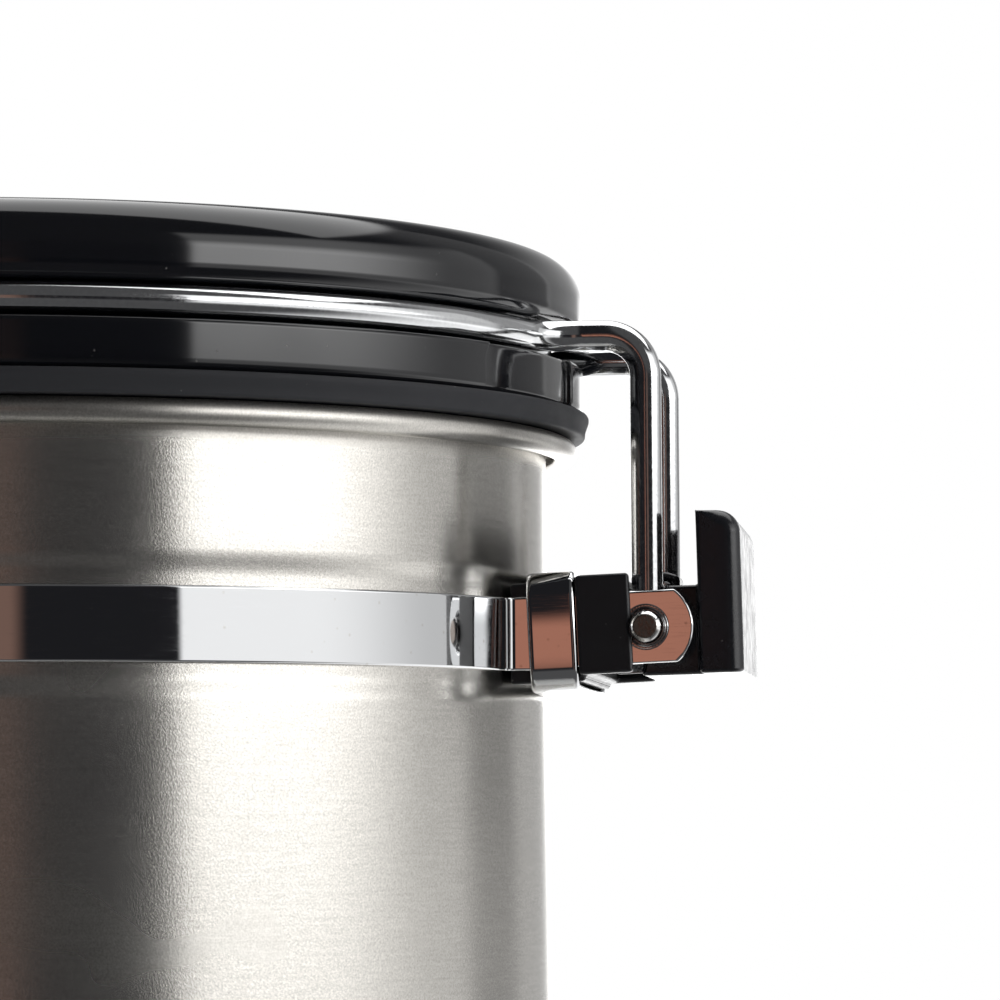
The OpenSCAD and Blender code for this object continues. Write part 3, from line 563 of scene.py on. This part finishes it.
near_edge = math.asin(POCKET_NEAR / SKIRT_R)
far_edge = math.asin(POCKET_FAR / SKIRT_R)
stops = [(0, 5), (near_edge - 0.008, 24), (near_edge + 0.006, 17), (near_edge + 0.042, 12),
         (far_edge - 0.045, 17), (far_edge - 0.006, 24), (far_edge + 0.009, 42), (np.pi / 2, 0)]
quarter = np.concatenate([np.linspace(start, end, count, endpoint=False)
                          for (start, count), (end, _) in zip(stops[:-1], stops[1:])])
lid_angles = np.concatenate([quarter, np.pi - quarter[::-1], np.pi + quarter[1:], 2 * np.pi - quarter[:0:-1]])
lid_angles = np.unique(np.round(np.append(lid_angles, [np.pi / 2, 1.5 * np.pi]), 9))
inwards = POCKET_DEPTH * pull[None] * pocket_share(lid_angles, height)
a = lid_angles[:, None]
lid_points = np.stack([(radius - inwards) * np.cos(a), (radius - inwards) * np.sin(a), height + 0 * a], -1).reshape(-1, 3)
lid_faces = wrapped_quads(len(lid_angles), len(lid_profile))

# Four posts under the ceiling take the liner's screws.
POST_RING, POST_R, POST_HOLE = 36.0, 3.5, 1.55
post_profile = np.array([(POST_HOLE, 162.5), (POST_R, 162.5), (POST_R, CEILING_Z + 0.01), (POST_HOLE, CEILING_Z + 0.01)])
post = turned(post_profile, around_axis(40))
for k in range(4):
    quarter_turn = math.radians(45 + 90 * k)
    lid_faces += wrapped_quads(40, 4, len(lid_points))
    lid_points = np.vstack([lid_points, post + [POST_RING * math.cos(quarter_turn), POST_RING * math.sin(quarter_turn), 0]])
lid = mesh_piece("lid_moulding", lid_points, lid_faces, lid_black)
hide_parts("lid_shell")
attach(lid, "lid")


# Seal: a flat ring of dark grey silicone, stretched over the liner's hub and pressed between lid and rim.
# Its edge is slightly round and tapers in a little towards the rim.

# Silicone rubber: matt dark grey that holds fine pale dust. Grains are 0.1 to 0.2 mm wide and a millimetre apart.
silicone = satin_black("silicone_rubber", "#292A2E", 0.6, (200, 200, 500), 1.0, 0.3)
seal_profile = np.vstack([
    straight((50.5, 161.5), (50.5, 159.1), 3),
    straight((52.0, 159.1), (61.4, 159.1), 5),
    arc(61.72, 159.48, 0.36, -90, -4, 6),
    straight((62.12, 159.9), (62.46, 160.9), 4),
    arc(62.1, 161.12, 0.38, 0, 90, 6),
    straight((61.4, 161.5), (52.0, 161.5), 5),
])
seal = mesh_piece("seal_ring", turned(seal_profile, around_axis(240)), wrapped_quads(240, len(seal_profile)), silicone)
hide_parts("lid_seal")
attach(seal, "lid")


# Liner: a moulded disc under the lid that holds the seal's inner edge, with air holes below the valve, and four
# small cross-head screws that hold it to the posts.

liner_black = satin_black("moulded_liner_polypropylene", "#1F2023", 0.45, (300, 300, 300), 0.3)
softened("lid_liner", "liner_disc", liner_black, 0.25, "lid", segments=2)
softened("liner_screws", "cross_head_screws", chrome, 0.12, "lid", segments=2)


# Valve: a moulded grey body set in the lid's panel, a felt filter, a soft flap on a stem, a round ring round the tube
# and a low cover with air gaps. The covered parts keep their CAD shapes.

valve_grey = satin_black("moulded_acetal", "#35373A", 0.4, (300, 300, 300), 0.2)
dress("valve_body", valve_grey)
dress("valve_ring", silicone)

# Silicone, translucent and unfilled: pale grey and slightly soft to the light.
flap_grey, tree, shader = new_finish("unfilled_silicone", "#B9BCC0", 0.0, 0.4, {"Subsurface Weight": 0.15, "Subsurface Scale": 0.001})
bloom = ranged(tree, stretched_noise(tree, (700, 700, 700), 3.0).outputs["Fac"], 0.33, 0.5)
tree.links.new(bloom.outputs["Result"], shader.inputs["Roughness"])
dress("valve_flap", flap_grey)

# Wool felt: off-white fibres pressed flat. Fibres are 0.02 mm and drawn 0.25 mm so that they show.
felt, tree, shader = new_finish("wool_felt", "#E4E1DA", 0.0, 0.9, {"Sheen Weight": 0.3})
fibres = stretched_noise(tree, (4000, 1500, 4000), 4.0, 0.7)
fibre_tone = add_node(tree, "ShaderNodeMix", {"data_type": "RGBA"}, {"A": srgb("#D6D2C9"), "B": srgb("#EEEBE5")},
                      {"Factor": fibres.outputs["Fac"]})
fuzz = add_node(tree, "ShaderNodeBump", values={"Strength": 0.5, "Distance": 0.0001}, links={"Height": fibres.outputs["Fac"]})
tree.links.new(fibre_tone.outputs["Result"], shader.inputs["Base Color"])
tree.links.new(fuzz.outputs["Normal"], shader.inputs["Normal"])
dress("valve_filter", felt)
softened("valve_cover", "valve_cap", lid_black, 0.3, "lid")


# Table: a pale matt floor that fades into the white backdrop.

bpy.ops.mesh.primitive_circle_add(vertices=96, radius=1.6, fill_type="NGON", location=(0, 0, 0))
table = bpy.context.object
table.name = "table"
paper, tree, shader = new_finish("matt_paper", "#F1F1EF", 0.0, 0.8)
from_middle = add_node(tree, "ShaderNodeVectorMath", {"operation": "LENGTH"},
                       links={0: add_node(tree, "ShaderNodeTexCoord").outputs["Object"]})
far = ranged(tree, from_middle.outputs["Value"], 0.0, 1.0, 0.45, 1.2)
far.interpolation_type = "SMOOTHSTEP"
white = add_node(tree, "ShaderNodeEmission", values={"Color": (1, 1, 1, 1), "Strength": 1.0})
fade = add_node(tree, "ShaderNodeMixShader", links={0: far.outputs["Result"], 1: shader.outputs["BSDF"], 2: white.outputs["Emission"]})
# Reflections see the table only round the can's foot; farther out they see the dark room.
beyond = ranged(tree, from_middle.outputs["Value"], 0.0, 1.0, 0.07, 0.13)
mirrored = add_node(tree, "ShaderNodeMath", {"operation": "MULTIPLY"},
                    links={0: beyond.outputs["Result"], 1: add_node(tree, "ShaderNodeLightPath").outputs["Is Glossy Ray"]})
open_floor = add_node(tree, "ShaderNodeBsdfTransparent")
floor = add_node(tree, "ShaderNodeMixShader", links={0: mirrored.outputs["Value"], 1: fade.outputs["Shader"], 2: open_floor.outputs["BSDF"]})
tree.links.new(floor.outputs["Shader"], tree.nodes["Material Output"].inputs["Surface"])
table.data.materials.append(paper)


# Studio: a dark room with a white backdrop behind, a wide soft box above, one to the right and slightly in front,
# and a smaller one to the left. Directions are angles from +X, and heights are angles above the level.

world = bpy.data.worlds.new("studio")
world.use_nodes = True
tree = world.node_tree
sky = tree.nodes["Background"]
axes = add_node(tree, "ShaderNodeSeparateXYZ", links={0: add_node(tree, "ShaderNodeTexCoord").outputs["Generated"]})
azimuth = add_node(tree, "ShaderNodeMath", {"operation": "ARCTAN2"}, links={0: axes.outputs["Y"], 1: axes.outputs["X"]})
height_angle = add_node(tree, "ShaderNodeMath", {"operation": "ARCSINE"}, links={0: axes.outputs["Z"]})
level_x = add_node(tree, "ShaderNodeMath", {"operation": "DIVIDE"}, links={0: axes.outputs["X"], 1: axes.outputs["Z"]})
level_y = add_node(tree, "ShaderNodeMath", {"operation": "DIVIDE"}, links={0: axes.outputs["Y"], 1: axes.outputs["Z"]})


def lamp(tree, limits, strength):
    """A soft-edged window of light: each limit is (value, dark end, bright end), and their product is the light."""
    light = None
    for value, dark, bright in limits:
        share = ranged(tree, value, 0.0, 1.0, dark, bright)
        share.interpolation_type = "SMOOTHSTEP"
        if light is None:
            light = share.outputs["Result"]
        else:
            light = add_node(tree, "ShaderNodeMath", {"operation": "MULTIPLY"}, links={0: light, 1: share.outputs["Result"]}).outputs["Value"]
    return add_node(tree, "ShaderNodeMath", {"operation": "MULTIPLY"}, {1: strength}, {0: light}).outputs["Value"]


DEG = math.pi / 180
az, up = azimuth.outputs["Value"], height_angle.outputs["Value"]
box_sides = [(az, -41 * DEG, -39.5 * DEG), (az, 20 * DEG, -14 * DEG)]
lower_box = lamp(tree, [(az, -41 * DEG, -39.5 * DEG), (az, 34 * DEG, -12 * DEG), (up, -13 * DEG, -9 * DEG), (up, 35 * DEG, 29 * DEG)], 0.66)
upper_box = lamp(tree, box_sides + [(up, 3 * DEG, 5 * DEG), (up, 35 * DEG, 29 * DEG)], 0.45)
bright_box = lamp(tree, box_sides + [(up, 4.4 * DEG, 7.2 * DEG), (up, 19 * DEG, 6 * DEG)], 3.9)
box_end = lamp(tree, [(az, -41 * DEG, -39.5 * DEG), (az, 36 * DEG, 32 * DEG), (up, -20 * DEG, -10 * DEG), (up, 34 * DEG, 26 * DEG)], 0.45)
right_wall = lamp(tree, [(az, 12 * DEG, 40 * DEG), (az, 59 * DEG, 56 * DEG), (up, -60 * DEG, -40 * DEG), (up, 60 * DEG, 40 * DEG)], 0.27)
right_floor = lamp(tree, [(az, -15 * DEG, 20 * DEG), (up, -75 * DEG, -55 * DEG), (up, -4 * DEG, -12 * DEG)], 0.9)
over = add_node(tree, "ShaderNodeMath", {"operation": "ADD"}, links={0: level_x.outputs["Value"], 1: level_y.outputs["Value"]})
top_box = lamp(tree, [(axes.outputs["Z"], 0.3, 0.45), (level_y.outputs["Value"], -0.13, -0.09), (over.outputs["Value"], 1.36, 1.24),
                      (level_x.outputs["Value"], -1.0, -0.85)], 2.3)
back_height = [(up, -70 * DEG, -20 * DEG), (up, 13 * DEG, 9 * DEG)]
backdrop = lamp(tree, [(az, 55.6 * DEG, 56.8 * DEG), (az, 135 * DEG, 134 * DEG), (up, -70 * DEG, -20 * DEG), (up, 38 * DEG, 12 * DEG)], 0.5)
middle = lamp(tree, [(az, 74 * DEG, 92 * DEG), (az, 118 * DEG, 100 * DEG)] + back_height, 0.5)
behind = lamp(tree, [(az, 79 * DEG, 85 * DEG), (az, 108 * DEG, 101 * DEG), (up, -30 * DEG, -8 * DEG), (up, 8 * DEG, 3 * DEG)], 2.0)
room_high = lamp(tree, [(az, -91 * DEG, -84 * DEG), (up, 4 * DEG, 9 * DEG)], 0.065)
room_low = lamp(tree, [(up, -8 * DEG, -18 * DEG)], 0.07)
west = lamp(tree, [(axes.outputs["X"], -0.75, -0.85), (up, -12 * DEG, -8 * DEG), (up, 34 * DEG, 20 * DEG)], 2.0)
total = None
for part in (lower_box, upper_box, bright_box, box_end, right_wall, right_floor, top_box, backdrop, middle, behind, room_high,
             room_low, west):
    total = part if total is None else add_node(tree, "ShaderNodeMath", {"operation": "ADD"}, links={0: total, 1: part}).outputs["Value"]
grey = add_node(tree, "ShaderNodeCombineColor", links={"Red": total, "Green": total, "Blue": total})
wood = lamp(tree, [(az, -98.5 * DEG, -97.5 * DEG), (az, -92.7 * DEG, -93.2 * DEG), (up, -9 * DEG, -2 * DEG), (up, 6.5 * DEG, 2.7 * DEG)], 0.97)
slit = lamp(tree, [(az, -95.2 * DEG, -94.4 * DEG), (az, -92.8 * DEG, -93.6 * DEG), (up, 1 * DEG, 2 * DEG), (up, 16 * DEG, 10 * DEG)], 1.0)
door = lamp(tree, [(az, -83 * DEG, -79 * DEG), (az, -70 * DEG, -74 * DEG), (up, -16 * DEG, -12 * DEG), (up, 8 * DEG, 4 * DEG)], 1.0)
wall_tone = add_node(tree, "ShaderNodeMix", {"data_type": "RGBA"}, {"A": (0.014, 0.014, 0.016, 1), "B": (0.2, 0.12, 0.095, 1)}, {"Factor": door})
edge_tone = add_node(tree, "ShaderNodeMix", {"data_type": "RGBA"}, {"B": (0.2, 0.085, 0.06, 1)}, {"A": wall_tone.outputs["Result"], "Factor": slit})
front = add_node(tree, "ShaderNodeMix", {"data_type": "RGBA"}, {"B": (0.47, 0.2, 0.136, 1)}, {"A": edge_tone.outputs["Result"], "Factor": wood})
room = add_node(tree, "ShaderNodeMix", {"data_type": "RGBA", "blend_type": "ADD"}, {"Factor": 1.0},
                {"A": front.outputs["Result"], "B": grey.outputs["Color"]})
ray = add_node(tree, "ShaderNodeLightPath")
seen = add_node(tree, "ShaderNodeMix", {"data_type": "RGBA"}, {"B": (1, 1, 1, 1)}, {"Factor": ray.outputs["Is Camera Ray"], "A": room.outputs["Result"]})
tree.links.new(seen.outputs["Result"], sky.inputs["Color"])
sky.inputs["Strength"].default_value = 1.0
bpy.context.scene.world = world


# Camera: level with the clamp strap and half a metre away, looking slightly up at the right half of the can.

camera = bpy.data.objects.new("camera", bpy.data.cameras.new("camera"))
camera.location = (0.10225, -0.48943, 0.12016)
camera.rotation_euler = (math.radians(93.787), math.radians(0.338), math.radians(5.71))
camera.data.lens = 173.28
camera.data.clip_start = 0.01
bpy.context.collection.objects.link(camera)
bpy.context.scene.camera = camera
bpy.context.scene.view_settings.view_transform = "Standard"
